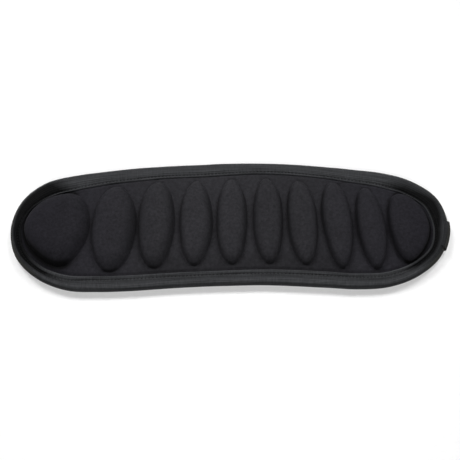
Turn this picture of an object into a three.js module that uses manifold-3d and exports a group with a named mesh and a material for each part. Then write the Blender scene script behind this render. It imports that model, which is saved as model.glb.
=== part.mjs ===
// Padded shoulder rest for an instrument strap: a bowed, kidney-shaped pad with a row of raised cells on the
// side that lies on the shoulder, a bound edge, and two hook-and-loop strap keepers on the back.
// Millimetres, +Z up. X runs along the pad, the bowed-out long side is +Y, the cells face +Z.
// The origin is under the middle of the pad, on the plane it rests on.
import * as THREE from 'three';
import { mergeVertices } from 'three/addons/utils/BufferGeometryUtils.js';
import Module from 'manifold-3d';

const wasm = await Module();
wasm.setup();

// ---------------------------------------------------------------- driving dimensions
const FRAME_SHIFT = new THREE.Vector2(-0.449, -2.241); // outline coordinates to row frame
const STATIONS = 62;          // cross-sections round the edge
const GAP = 0.3;              // clearance between neighbouring layers

// Finished outer edge of the bound pad, anticlockwise from the left tip.
const OUTLINE = [
  [-153.9, 0.3], [-148.3, -20.6], [-132.8, -35.8], [-112.4, -44.3], [-90.3, -45.8], [-68.1, -45.4],
  [-46.0, -44.1], [-23.9, -43.0], [-1.7, -42.4], [20.4, -42.2], [42.6, -43.1], [64.7, -44.5],
  [86.8, -45.9], [108.9, -44.4], [129.6, -36.5], [146.5, -21.9], [153.5, -0.3], [147.8, 20.8],
  [130.8, 34.6], [109.8, 41.4], [87.9, 44.6], [66.0, 47.1], [43.8, 49.2], [21.7, 50.2],
  [-0.5, 50.3], [-22.6, 49.4], [-44.8, 48.5], [-66.9, 47.1], [-88.9, 44.7], [-110.8, 41.6],
  [-132.0, 36.0], [-148.1, 21.2],
];

// Foot outline of each raised cell, left to right.
const CELLS = [
  [[-133.8, -19.7], [-123.6, -27.5], [-115.2, -29.3], [-108.1, -25.2], [-101.0, -14.8], [-97.5, -2.6], [-98.2, 10.1], [-102.6, 19.9], [-109.7, 24.5], [-120.4, 24.2], [-131.3, 19.4], [-139.2, 10.7], [-142.8, 0.6], [-140.8, -9.4]],
  [[-89.5, 22.7], [-93.8, 11.5], [-95.9, -3.2], [-94.8, -16.8], [-90.6, -28.2], [-84.9, -33.2], [-78.5, -32.7], [-72.0, -26.7], [-67.1, -14.7], [-65.0, -0.7], [-66.1, 12.6], [-70.8, 23.7], [-77.0, 29.4], [-82.7, 29.0]],
  [[-57.3, 28.3], [-61.7, 18.0], [-63.8, 3.9], [-63.2, -10.5], [-60.4, -23.5], [-55.5, -30.2], [-50.6, -31.1], [-45.5, -27.0], [-40.9, -16.0], [-38.5, -2.0], [-38.9, 12.2], [-41.8, 24.7], [-46.9, 31.8], [-51.6, 32.6]],
  [[-33.3, 18.9], [-35.2, 6.1], [-34.7, -8.4], [-32.1, -21.4], [-27.6, -28.6], [-23.7, -29.6], [-19.2, -25.9], [-13.9, -14.8], [-12.0, -2.4], [-12.6, 11.7], [-15.7, 24.6], [-20.5, 32.7], [-23.9, 33.7], [-28.3, 29.9]],
  [[-5.4, 27.3], [-8.5, 15.0], [-9.4, 0.5], [-8.5, -13.7], [-5.0, -24.3], [-0.3, -28.7], [3.8, -28.0], [8.3, -21.9], [11.1, -9.5], [12.1, 5.1], [11.1, 18.9], [7.2, 30.0], [2.7, 34.5], [-0.7, 33.9]],
  [[19.4, 27.0], [16.5, 14.2], [16.0, -0.2], [17.4, -14.1], [21.2, -24.5], [25.9, -28.6], [29.7, -27.7], [33.6, -21.4], [36.2, -8.1], [37.0, 6.5], [35.7, 20.0], [31.5, 30.5], [26.9, 34.8], [23.7, 34.1]],
  [[43.1, 28.1], [40.5, 17.4], [40.0, 2.3], [41.2, -11.3], [44.9, -23.5], [49.7, -29.5], [53.2, -29.8], [57.2, -25.3], [60.1, -14.0], [60.9, 0.4], [59.8, 14.5], [56.1, 25.8], [50.9, 32.1], [47.2, 32.4]],
  [[67.0, 26.2], [64.2, 14.7], [64.1, 1.0], [66.5, -13.7], [70.4, -26.4], [74.8, -32.4], [77.5, -32.5], [81.4, -27.2], [84.5, -14.9], [85.1, -0.8], [83.5, 13.2], [79.7, 25.2], [74.7, 31.2], [71.1, 31.2]],
  [[90.8, 22.6], [88.1, 12.0], [87.7, -1.6], [89.6, -15.0], [93.5, -27.3], [98.0, -33.3], [100.7, -33.6], [104.3, -29.4], [107.4, -18.3], [108.0, -5.3], [106.1, 7.9], [101.9, 20.1], [97.4, 26.3], [94.4, 26.5]],
  [[118.4, 22.0], [113.9, 19.1], [110.7, 11.2], [109.8, -0.8], [111.6, -13.0], [115.4, -23.9], [119.6, -28.3], [123.8, -28.3], [130.1, -23.2], [136.0, -13.8], [138.3, -4.2], [136.5, 5.5], [131.3, 14.8], [124.1, 20.9]],
];
const CELL_HEIGHT = [9.6, 9.0, 8.5, 8.1, 7.9, 7.7, 7.5, 7.3, 7.1, 7.0]; // crown above the flat cover
const CELL_RINGS = [[1, 0], [0.93, 0.42], [0.74, 0.82], [0.34, 1]]; // [share of half width, share of height]
const CELL_SIDES = 18;

// Layer build-up in the flat middle of the pad (z, mm) and at the pinched rim.
const COVER_T = 1.0;
const RIM = { liningBot: 1.3, liningTop: 2.1, foamBot: 2.4, coverTop: 6.0 };
const MID = { liningBot: 4.2, liningTop: 5.0, foamBot: 5.3, coverTop: 10.0 };
const LAYER_EDGE = 2.6;       // the layers end this far inside the finished edge
const RINGS = [LAYER_EDGE, 6, 9.7, 12.2];

// Edge binding: 25 mm tape folded over the rim.
const TAPE_T = 1.0;
const TAPE_TOP_REACH = 9.7, TAPE_BACK_REACH = 9.5;
// Reach of the tape on the cell side at each point of OUTLINE; it is folded over furthest round the far right corner.
const TAPE_REACH = [
  8.8, 8.3, 7.9, 9.0, 9.3, 9.3, 9.2, 9.0, 9.0, 9.3, 9.6, 9.6, 9.4, 9.2, 8.9, 9.6,
  13.0, 14.4, 14.8, 13.8, 12.8, 11.3, 11.0, 10.7, 11.9, 12.1, 11.8, 12.5, 12.7, 14.0, 15.0, 12.7,
];
const LAP_T = 1.3, LAP_TOP = 0.5; // the tape's end laps over its start at the right tip: bulge at the rim, and where the seam presses it
const LAP_FROM = new THREE.Vector2(149.9, -18.2), LAP_TO = new THREE.Vector2(153.4, 1.7);

const SEAM_TOP = 8.1, SEAM_BACK = 7.6, THREAD = 0.45; // seam distance in from the edge, thread thickness

// Strap keepers on the back: 38 mm webbing, sewn along one side and closed by hook-and-loop on the other.
const KEEPER_X = 78, WEB_W = 38, WEB_T = 1.0;
const ROOT_Y = [24.6, 33.4], ROOT_Z = [1.7, 3.9];
const TAB_Y = [-36.2, 24.2], TAB_Z = [0.9, 1.9];
const LOOP_PATCH = { w: 38, y: [-34.7, -21.2], z: [3.2, 3.9] };
const HOOK_PATCH = { w: 33, y: [-33.6, -22.6], z: [2.2, 2.9] };
const KEEPER_OPEN_DEG = 0;    // 0 is closed

// ---------------------------------------------------------------- materials
const mat = (hex, roughness, metalness = 0) => new THREE.MeshStandardMaterial({ color: hex, roughness, metalness });
const M = {
  cover: mat(0x1b1b20, 0.92), foam: mat(0x2a2a2c, 0.95), cushion: mat(0x3a3a3e, 0.9), lining: mat(0x17181a, 0.85),
  tape: mat(0x202226, 0.8), thread: mat(0x101113, 0.6), webbing: mat(0x18191b, 0.75), hook: mat(0x121314, 0.7), loop: mat(0x161618, 0.98),
};

// ---------------------------------------------------------------- helpers
const smooth = (x) => { const t = Math.min(1, Math.max(0, x)); return t * t * (3 - 2 * t); };

function closedCurve(points) {
  return new THREE.CatmullRomCurve3(points.map(([x, y]) => new THREE.Vector3(x, y, 0)), true, 'centripetal');
}

// Geometry from vertices and triangles, with its faces turned outwards.
function solid(vertices, faces) {
  let vol = 0;
  for (const [a, b, c] of faces) vol += vertices[a].dot(new THREE.Vector3().crossVectors(vertices[b], vertices[c]));
  const order = vol < 0 ? (f) => [f[0], f[2], f[1]] : (f) => f;
  const g = new THREE.BufferGeometry();
  g.setAttribute('position', new THREE.BufferAttribute(new Float32Array(vertices.flatMap((v) => [v.x, v.y, v.z])), 3));
  g.setIndex(faces.flatMap(order));
  g.computeVertexNormals();
  return g;
}

function toManifold(geometry) {
  const g = geometry.clone();
  g.deleteAttribute('normal'); g.deleteAttribute('uv');
  const m = mergeVertices(g, 1e-4);
  return new wasm.Manifold(new wasm.Mesh({ numProp: 3, vertProperties: m.attributes.position.array, triVerts: new Uint32Array(m.index.array) }));
}

function fromManifold(m) {
  const mesh = m.getMesh();
  const g = new THREE.BufferGeometry();
  g.setAttribute('position', new THREE.BufferAttribute(new Float32Array(mesh.vertProperties), 3));
  g.setIndex(new THREE.BufferAttribute(new Uint32Array(mesh.triVerts), 1));
  g.computeVertexNormals();
  return g;
}

// Triangles of a flat polygon given by vertex ids, anticlockwise seen from above.
function capFaces(ids, at) {
  const pts = ids.map((i) => new THREE.Vector2(at[i].x, at[i].y));
  return THREE.ShapeUtils.triangulateShape(pts, []).map(([a, b, c]) => {
    const area = (pts[b].x - pts[a].x) * (pts[c].y - pts[a].y) - (pts[c].x - pts[a].x) * (pts[b].y - pts[a].y);
    return area > 0 ? [ids[a], ids[b], ids[c]] : [ids[a], ids[c], ids[b]];
  });
}

// ---------------------------------------------------------------- stations round the edge
const shifted = (p) => [p[0] + FRAME_SHIFT.x, p[1] + FRAME_SHIFT.y];

// n points picked along a closed curve, closer together where it turns; `turn` is the length one radian counts for.
function sampled(curve, n, turn, N = 1600) {
  const pts = curve.getPoints(N).slice(0, N), tangent = [], weight = [0], picks = [];
  for (let i = 0; i < N; i++) tangent.push(pts[(i + 3) % N].clone().sub(pts[(i + N - 3) % N]).normalize());
  for (let i = 0; i < N; i++) weight.push(weight[i] + pts[i].distanceTo(pts[(i + 1) % N]) + turn * tangent[i].angleTo(tangent[(i + 1) % N]));
  for (let k = 0, i = 0; k < n; k++) {
    while (weight[i + 1] <= (weight[N] * k) / n) i++;
    picks.push(i);
  }
  return { pts, tangent, picks };
}

const stations = (() => {
  const { pts, tangent, picks } = sampled(closedCurve(OUTLINE.map(shifted)), STATIONS, 26);
  const nearest = (v) => {
    const far = (p) => Math.hypot(p.x - v.x - FRAME_SHIFT.x, p.y - v.y - FRAME_SHIFT.y);
    return pts.reduce((best, p, i) => (far(p) < far(pts[best]) ? i : best), 0);
  };
  const a = nearest(LAP_FROM), b = nearest(LAP_TO);
  const all = [...new Set([...picks.filter((i) => Math.abs(i - a) > 4 && Math.abs(i - b) > 4), a - 1, a + 1, b - 1, b + 1])].sort((p, q) => p - q);
  const marks = OUTLINE.map(([x, y], k) => [nearest({ x, y }), TAPE_REACH[k]]).sort((p, q) => p[0] - q[0]);
  const reach = (i) => {
    let k = marks.findIndex(([j]) => j > i);
    const [j1, r1] = k < 0 ? [marks[0][0] + pts.length, marks[0][1]] : marks[k];
    const [j0, r0] = k < 0 ? marks[marks.length - 1] : k === 0 ? [marks[marks.length - 1][0] - pts.length, marks[marks.length - 1][1]] : marks[k - 1];
    return r0 + ((r1 - r0) * (i - j0)) / (j1 - j0);
  };
  return all.map((i) => ({ x: pts[i].x, y: pts[i].y, nx: -tangent[i].y, ny: tangent[i].x, lap: i > a && i < b, reach: reach(i) - 0.1 }));
})();
const K = stations.length;
const inset = (s, d, z) => new THREE.Vector3(s.x + s.nx * d, s.y + s.ny * d, z);
// On the cell side distances are drawn out or in so that the tape's inner edge falls at the station's own reach;
// beyond the tape the difference dies away.
const drawOut = (s, d) => {
  const more = s.reach - TAPE_TOP_REACH;
  if (d <= 3) return d;
  if (d <= TAPE_TOP_REACH) return d + (more * (d - 3)) / (TAPE_TOP_REACH - 3);
  return d + (more > 0 ? more * 0.55 : more);
};
const insetTop = (s, d, z) => inset(s, drawOut(s, d), z);

// Heights of the layers at a distance d in from the finished edge.
const back = (d) => smooth((d - 3.5) / 7);
const coverTop = (d) => RIM.coverTop + 2.5 * smooth((d - 3.5) / 6.5) + (MID.coverTop - RIM.coverTop - 2.5) * smooth((d - 9.8) / 2.4);
const coverBot = (d) => coverTop(d) - COVER_T;
const foamTop = (d) => coverBot(d) - GAP;
const between = (a, b) => (d) => a + (b - a) * back(d);
const foamBot = between(RIM.foamBot, MID.foamBot);
const liningTop = between(RIM.liningTop, MID.liningTop);
const liningBot = between(RIM.liningBot, MID.liningBot);

// A sheet with the pad's planform, between two heights. splitAt cuts its flat faces at those X, so that no facet crosses them.
// The cell side follows the tape's reach where `follow` says so: [upper face, lower face].
function layer(top, bot, splitAt = [], follow = [false, false]) {
  const v = [], faces = [], n = RINGS.length, T = (j, k) => j * K + ((k + K) % K), B = (j, k) => n * K + T(j, k);
  [top, bot].forEach((h, side) => { for (const d of RINGS) for (const s of stations) v.push((follow[side] ? insetTop : inset)(s, d, h(d))); });
  for (let j = 0; j + 1 < n; j++) for (let k = 0; k < K; k++) {
    faces.push([T(j, k), T(j, k + 1), T(j + 1, k + 1)], [T(j, k), T(j + 1, k + 1), T(j + 1, k)]);
    faces.push([B(j, k), B(j + 1, k + 1), B(j, k + 1)], [B(j, k), B(j + 1, k), B(j + 1, k + 1)]);
  }
  for (let k = 0; k < K; k++) faces.push([B(0, k), B(0, k + 1), T(0, k + 1)], [B(0, k), T(0, k + 1), T(0, k)]);
  // cut the inner ring into strips
  const far = [], near = [];
  for (let k = 0; k < K; k++) (stations[k].ny < 0 ? far : near).push(k);
  const pick = (list, x) => list.reduce((m, k) => (Math.abs(stations[k].x - x) < Math.abs(stations[m].x - x) ? k : m), list[0]);
  const ring = [...Array(K).keys()];
  let rest = ring, loops = [];
  for (const x of splitAt) {
    const a = pick(near, x), b = pick(far, x); // anticlockwise: near side runs to +X, far side back
    const left = rest.filter((k) => !(k > a && k < b)), right = rest.filter((k) => k >= a && k <= b);
    loops.push(left); rest = right;
  }
  loops.push(rest);
  for (const loop of loops) {
    faces.push(...capFaces(loop.map((k) => T(n - 1, k)), v));
    faces.push(...capFaces(loop.map((k) => B(n - 1, k)), v).map(([a, b, c]) => [a, c, b]));
  }
  return solid(v, faces);
}

// A closed ring: the section is a list of [distance in from the edge, z], which may change from station to station.
function ring(section) {
  const v = [], faces = [], m = section(stations[0]).length, I = (k, i) => ((k + K) % K) * m + ((i + m) % m);
  for (const s of stations) for (const [d, z] of section(s)) v.push((z > 5 ? insetTop : inset)(s, d, z));
  for (let k = 0; k < K; k++) for (let i = 0; i < m; i++) faces.push([I(k, i), I(k + 1, i), I(k + 1, i + 1)], [I(k, i), I(k + 1, i + 1), I(k, i + 1)]);
  return solid(v, faces);
}

// ---------------------------------------------------------------- cells
// A crowned, closed solid over a cell's foot outline, drawn in by `shrink`.
function crown(c, shrink, z0, zFoot, zTop) {
  const foot = sampled(closedCurve(CELLS[c].map(shifted)), CELL_SIDES, 16, 600);
  const pts = foot.picks.map((i) => foot.pts[i]);
  const centre = pts.reduce((s, p) => s.add(p), new THREE.Vector3()).divideScalar(pts.length);
  let A = pts[0], Bp = pts[1];
  for (const p of pts) for (const q of pts) if (p.distanceTo(q) > A.distanceTo(Bp)) { A = p; Bp = q; }
  const axis = Bp.clone().sub(A).normalize(), side = new THREE.Vector3(-axis.y, axis.x, 0);
  const a = Math.max(...pts.map((p) => Math.abs(p.clone().sub(centre).dot(axis))));
  const b = Math.max(...pts.map((p) => Math.abs(p.clone().sub(centre).dot(side))));
  const reach = Math.max(0, a - b);
  const v = [], faces = [], n = CELL_SIDES;
  const levels = [[1, z0], ...CELL_RINGS.map(([f, h]) => [f, zFoot + (zTop - zFoot) * h])];
  for (const [f, z] of levels) for (const p of pts) {
    const t = Math.min(reach, Math.max(-reach, p.clone().sub(centre).dot(axis)));
    const S = centre.clone().addScaledVector(axis, t);
    const r = p.clone().sub(S), len = r.length();
    v.push(new THREE.Vector3(S.x, S.y, z).addScaledVector(r.normalize(), Math.max(0.4, (len - shrink) * f)));
  }
  for (let j = 0; j + 1 < levels.length; j++) for (let k = 0; k < n; k++) {
    const p = j * n + k, q = j * n + ((k + 1) % n);
    faces.push([p, q, q + n], [p, q + n, p + n]);
  }
  const ids = (j) => [...Array(n).keys()].map((k) => j * n + k);
  faces.push(...capFaces(ids(levels.length - 1), v), ...capFaces(ids(0), v).map(([p, q, r]) => [p, r, q]));
  const anticlockwise = pts.reduce((s, p, i) => { const q = pts[(i + 1) % n]; return s + p.x * q.y - q.x * p.y; }, 0) > 0;
  if (!anticlockwise) { // walls were wound for an anticlockwise foot
    const walls = (levels.length - 1) * n * 2;
    for (let i = 0; i < walls; i++) faces[i] = [faces[i][0], faces[i][2], faces[i][1]];
  }
  return solid(v, faces);
}

// ---------------------------------------------------------------- the pieces
const root = new THREE.Group();
const add = (parent, name, geometry, material) => {
  const mesh = new THREE.Mesh(geometry, material);
  mesh.name = name;
  parent.add(mesh);
  return mesh;
};

// Cover: a thin moulded skin, open underneath each cell.
{
  let skin = toManifold(layer(coverTop, coverBot, [], [true, true]));
  const crest = (c) => MID.coverTop + CELL_HEIGHT[c];
  CELLS.forEach((_, c) => { skin = skin.add(toManifold(crown(c, 0, MID.coverTop - 0.6, MID.coverTop, crest(c)))); });
  CELLS.forEach((_, c) => { skin = skin.subtract(toManifold(crown(c, COVER_T, MID.coverTop - COVER_T - 0.2, MID.coverTop, crest(c) - COVER_T))); });
  add(root, 'top_cover', fromManifold(skin), M.cover);
}

// Cushions, one in each cell, standing on the base foam.
CELLS.forEach((_, c) => add(root, `cell_cushion_${String(c + 1).padStart(2, '0')}`,
  crown(c, COVER_T + GAP, MID.coverTop - COVER_T, MID.coverTop, MID.coverTop + CELL_HEIGHT[c] - COVER_T - GAP), M.cushion));

add(root, 'base_foam', layer(foamTop, foamBot, [], [true, false]), M.foam);
add(root, 'back_lining', layer(liningTop, liningBot, [-48, 48]), M.lining);

// Edge binding: tape folded over the rim, doubled where its end laps its start.
add(root, 'edge_binding', ring((s) => {
  const t = s.lap ? LAP_T : 0, up = (d) => coverTop(d) + GAP, down = (d) => liningBot(d) - GAP;
  const top = (d) => up(d) + TAPE_T + (s.lap ? LAP_TOP : 0), low = (d) => down(d) - TAPE_T;
  return [
    [3.8, 0], [2.2, 0], [0.7 - t, 0.9], [-t, 3.65], [0.7 - t, 6.3 + t * 0.6], [2.4 - t * 0.4, top(2.4)], [6, top(6)], [TAPE_TOP_REACH, top(TAPE_TOP_REACH)],
    [TAPE_TOP_REACH, up(TAPE_TOP_REACH)], [6, up(6)], [2.4, up(2.4)], [1.0, 3.65], [2.4, down(2.4)], [6, down(6)],
    [TAPE_BACK_REACH, down(TAPE_BACK_REACH)], [TAPE_BACK_REACH, low(TAPE_BACK_REACH)], [6, low(6)],
  ];
}), M.tape);

// Lockstitch through the binding: needle thread on the cell side, bobbin thread on the back.
add(root, 'binding_needle_thread', ring((s) => {
  const z = coverTop(SEAM_TOP) + GAP + TAPE_T + (s.lap ? LAP_TOP : 0) + GAP + 0.05, h = THREAD / 2;
  return [[SEAM_TOP - h, z], [SEAM_TOP + h, z + 0.12], [SEAM_TOP, z + THREAD]];
}), M.thread);
add(root, 'binding_bobbin_thread', ring(() => {
  const z = liningBot(SEAM_BACK) - GAP - TAPE_T - GAP - 0.05, h = THREAD / 2;
  return [[SEAM_BACK, z - THREAD], [SEAM_BACK + h, z], [SEAM_BACK - h, z - 0.12]];
}), M.thread);

// ---------------------------------------------------------------- strap keepers
// A profile in Y and Z, drawn out along X and centred on X = 0.
const alongX = new THREE.Quaternion().setFromRotationMatrix(new THREE.Matrix4().makeBasis(new THREE.Vector3(0, 1, 0), new THREE.Vector3(0, 0, 1), new THREE.Vector3(1, 0, 0)));
function drawn(parent, name, profile, width, material) {
  const g = new THREE.ExtrudeGeometry(new THREE.Shape(profile.map(([y, z]) => new THREE.Vector2(y, z))), { depth: width, bevelEnabled: false });
  const mesh = add(parent, name, g, material);
  mesh.quaternion.copy(alongX);
  mesh.position.x = -width / 2;
  return mesh;
}
// A flat patch lying in X and Y.
function patch(parent, name, w, y, z, r, material) {
  const s = new THREE.Shape(), hw = w / 2, [y0, y1] = y;
  s.moveTo(-hw + r, y0); s.lineTo(hw - r, y0); s.quadraticCurveTo(hw, y0, hw, y0 + r); s.lineTo(hw, y1 - r); s.quadraticCurveTo(hw, y1, hw - r, y1);
  s.lineTo(-hw + r, y1); s.quadraticCurveTo(-hw, y1, -hw, y1 - r); s.lineTo(-hw, y0 + r); s.quadraticCurveTo(-hw, y0, -hw + r, y0);
  const mesh = add(parent, name, new THREE.ExtrudeGeometry(s, { depth: z[1] - z[0], bevelEnabled: false, curveSegments: 3 }), material);
  mesh.position.z = z[0];
  return mesh;
}
// A closed rectangular seam: one line of thread.
function seam(parent, name, w, y, z, material) {
  const t = THREAD, hw = w / 2, s = new THREE.Shape([[-hw, y[0]], [hw, y[0]], [hw, y[1]], [-hw, y[1]]].map(([a, b]) => new THREE.Vector2(a, b)));
  s.holes.push(new THREE.Path([[-hw + t, y[0] + t], [-hw + t, y[1] - t], [hw - t, y[1] - t], [hw - t, y[0] + t]].map(([a, b]) => new THREE.Vector2(a, b))));
  const mesh = add(parent, name, new THREE.ExtrudeGeometry(s, { depth: z[1] - z[0], bevelEnabled: false }), material);
  mesh.position.z = z[0];
  return mesh;
}

for (const [label, x] of [['left', -KEEPER_X], ['right', KEEPER_X]]) {
  const fixed = new THREE.Group();
  fixed.position.set(x + FRAME_SHIFT.x, FRAME_SHIFT.y, 0);
  root.add(fixed);
  // webbing end, folded double and sewn down
  const [r0, r1] = ROOT_Y, [z0, z1] = ROOT_Z, zm = (z0 + z1) / 2, rr = (z1 - z0) / 2;
  drawn(fixed, `${label}_keeper_root`, [[r0, z0], [r1 - rr, z0], [r1 - 0.3 * rr, z0 + 0.3 * rr], [r1, zm], [r1 - 0.3 * rr, z1 - 0.3 * rr], [r1 - rr, z1], [r0, z1]], WEB_W, M.webbing);
  seam(fixed, `${label}_root_stitch`, WEB_W - 5, [r0 + 1.4, r1 - 1.6], [z0 - GAP - 0.3, z0 - GAP], M.thread);
  patch(fixed, `${label}_loop_patch`, LOOP_PATCH.w, LOOP_PATCH.y, LOOP_PATCH.z, 1.2, M.loop);
  seam(fixed, `${label}_loop_stitch`, LOOP_PATCH.w - 2, [LOOP_PATCH.y[0] + 0.5, LOOP_PATCH.y[1] - 0.4], [LOOP_PATCH.z[0] - GAP - 0.3, LOOP_PATCH.z[0] - GAP], M.thread);

  // the moving tab turns about the outer face of the webbing, at the sewn end
  const pivot = new THREE.Group();
  pivot.position.set(0, TAB_Y[1], TAB_Z[0]);
  pivot.rotation.x = (KEEPER_OPEN_DEG * Math.PI) / 180;
  fixed.add(pivot);
  const tab = new THREE.Group();
  tab.position.set(0, -TAB_Y[1], -TAB_Z[0]);
  pivot.add(tab);
  const [t0, t1] = TAB_Y, [a, b] = TAB_Z, m = (a + b) / 2;
  drawn(tab, `${label}_keeper_tab`, [[t0 + 0.35, a], [t1 - 0.3, a], [t1 - 0.3, b], [t0 + 0.35, b], [t0, m]], WEB_W, M.webbing);
  patch(tab, `${label}_hook_patch`, HOOK_PATCH.w, HOOK_PATCH.y, HOOK_PATCH.z, 1.0, M.hook);
  seam(tab, `${label}_hook_stitch`, HOOK_PATCH.w - 1.6, [HOOK_PATCH.y[0] + 0.8, HOOK_PATCH.y[1] - 0.8], [a - GAP - 0.3, a - GAP], M.thread);
}

export default root;
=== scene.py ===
import math
import bpy
import numpy as np
from mathutils import Vector, Matrix
from mathutils.geometry import delaunay_2d_cdt
from mathutils.kdtree import KDTree


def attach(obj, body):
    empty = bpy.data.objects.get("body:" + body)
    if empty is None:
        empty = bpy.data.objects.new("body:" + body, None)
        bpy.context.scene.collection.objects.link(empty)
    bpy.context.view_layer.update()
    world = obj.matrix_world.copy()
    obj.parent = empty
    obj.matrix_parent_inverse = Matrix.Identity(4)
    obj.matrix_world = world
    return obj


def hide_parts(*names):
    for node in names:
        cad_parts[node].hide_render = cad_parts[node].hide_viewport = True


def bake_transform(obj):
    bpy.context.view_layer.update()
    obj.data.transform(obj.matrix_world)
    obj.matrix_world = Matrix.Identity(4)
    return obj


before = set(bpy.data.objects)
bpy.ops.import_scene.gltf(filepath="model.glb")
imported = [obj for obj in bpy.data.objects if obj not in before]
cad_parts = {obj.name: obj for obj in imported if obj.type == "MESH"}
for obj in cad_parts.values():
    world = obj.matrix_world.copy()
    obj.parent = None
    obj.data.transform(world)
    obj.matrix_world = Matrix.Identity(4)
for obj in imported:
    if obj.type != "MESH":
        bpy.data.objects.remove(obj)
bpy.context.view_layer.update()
MM = 0.001

# ------------------------------------------------------------------ numbers shared with the part's source (mm)
SHIFT = np.array([-0.449, -2.241])
OUTLINE = [
    (-153.9, 0.3), (-148.3, -20.6), (-132.8, -35.8), (-112.4, -44.3), (-90.3, -45.8), (-68.1, -45.4),
    (-46.0, -44.1), (-23.9, -43.0), (-1.7, -42.4), (20.4, -42.2), (42.6, -43.1), (64.7, -44.5),
    (86.8, -45.9), (108.9, -44.4), (129.6, -36.5), (146.5, -21.9), (153.5, -0.3), (147.8, 20.8),
    (130.8, 34.6), (109.8, 41.4), (87.9, 44.6), (66.0, 47.1), (43.8, 49.2), (21.7, 50.2),
    (-0.5, 50.3), (-22.6, 49.4), (-44.8, 48.5), (-66.9, 47.1), (-88.9, 44.7), (-110.8, 41.6),
    (-132.0, 36.0), (-148.1, 21.2)]
CELLS = [
    [(-133.8, -19.7), (-123.6, -27.5), (-115.2, -29.3), (-108.1, -25.2), (-101.0, -14.8), (-97.5, -2.6), (-98.2, 10.1), (-102.6, 19.9), (-109.7, 24.5), (-120.4, 24.2), (-131.3, 19.4), (-139.2, 10.7), (-142.8, 0.6), (-140.8, -9.4)],
    [(-89.5, 22.7), (-93.8, 11.5), (-95.9, -3.2), (-94.8, -16.8), (-90.6, -28.2), (-84.9, -33.2), (-78.5, -32.7), (-72.0, -26.7), (-67.1, -14.7), (-65.0, -0.7), (-66.1, 12.6), (-70.8, 23.7), (-77.0, 29.4), (-82.7, 29.0)],
    [(-57.3, 28.3), (-61.7, 18.0), (-63.8, 3.9), (-63.2, -10.5), (-60.4, -23.5), (-55.5, -30.2), (-50.6, -31.1), (-45.5, -27.0), (-40.9, -16.0), (-38.5, -2.0), (-38.9, 12.2), (-41.8, 24.7), (-46.9, 31.8), (-51.6, 32.6)],
    [(-33.3, 18.9), (-35.2, 6.1), (-34.7, -8.4), (-32.1, -21.4), (-27.6, -28.6), (-23.7, -29.6), (-19.2, -25.9), (-13.9, -14.8), (-12.0, -2.4), (-12.6, 11.7), (-15.7, 24.6), (-20.5, 32.7), (-23.9, 33.7), (-28.3, 29.9)],
    [(-5.4, 27.3), (-8.5, 15.0), (-9.4, 0.5), (-8.5, -13.7), (-5.0, -24.3), (-0.3, -28.7), (3.8, -28.0), (8.3, -21.9), (11.1, -9.5), (12.1, 5.1), (11.1, 18.9), (7.2, 30.0), (2.7, 34.5), (-0.7, 33.9)],
    [(19.4, 27.0), (16.5, 14.2), (16.0, -0.2), (17.4, -14.1), (21.2, -24.5), (25.9, -28.6), (29.7, -27.7), (33.6, -21.4), (36.2, -8.1), (37.0, 6.5), (35.7, 20.0), (31.5, 30.5), (26.9, 34.8), (23.7, 34.1)],
    [(43.1, 28.1), (40.5, 17.4), (40.0, 2.3), (41.2, -11.3), (44.9, -23.5), (49.7, -29.5), (53.2, -29.8), (57.2, -25.3), (60.1, -14.0), (60.9, 0.4), (59.8, 14.5), (56.1, 25.8), (50.9, 32.1), (47.2, 32.4)],
    [(67.0, 26.2), (64.2, 14.7), (64.1, 1.0), (66.5, -13.7), (70.4, -26.4), (74.8, -32.4), (77.5, -32.5), (81.4, -27.2), (84.5, -14.9), (85.1, -0.8), (83.5, 13.2), (79.7, 25.2), (74.7, 31.2), (71.1, 31.2)],
    [(90.8, 22.6), (88.1, 12.0), (87.7, -1.6), (89.6, -15.0), (93.5, -27.3), (98.0, -33.3), (100.7, -33.6), (104.3, -29.4), (107.4, -18.3), (108.0, -5.3), (106.1, 7.9), (101.9, 20.1), (97.4, 26.3), (94.4, 26.5)],
    [(118.4, 22.0), (113.9, 19.1), (110.7, 11.2), (109.8, -0.8), (111.6, -13.0), (115.4, -23.9), (119.6, -28.3), (123.8, -28.3), (130.1, -23.2), (136.0, -13.8), (138.3, -4.2), (136.5, 5.5), (131.3, 14.8), (124.1, 20.9)],
]
CELL_HEIGHT = [9.6, 9.0, 8.5, 8.1, 7.9, 7.7, 7.5, 7.3, 7.1, 7.0]
# how gradually each flank falls, left to right: 1 rolls off over 0.42 of the half width, 0 drops almost straight to the seam
SOFT_LEFT = [0.3, 0.15, 0.2, 0.35, 0.2, 0.35, 0.2, 0.1, 0.05, 0.1]
SOFT_RIGHT = [1.0, 1.0, 0.9, 0.8, 0.7, 0.5, 0.4, 0.25, 0.1, 0.1]
SOFT_LOW = [1.0, 0.8, 0.7, 0.6, 0.5, 0.4, 0.4, 0.3, 0.2, 0.1]
SOFT_HIGH = [0.5, 0.5, 0.5, 0.6, 0.6, 0.6, 0.5, 0.5, 0.4, 0.3]
LEFT_LINE = [0.3, 0.3, 0.4, 0.45, 0.35, 0.35, 0.65, 0.85, 1.0, 1.0]    # how crisp the seam shows along each left side
FLAT_Z = 10.0
FOLD = [(76.09, 29.13), (78.77, 30.84), (82.04, 31.94)]
TAPE_IN = 9.78
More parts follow.
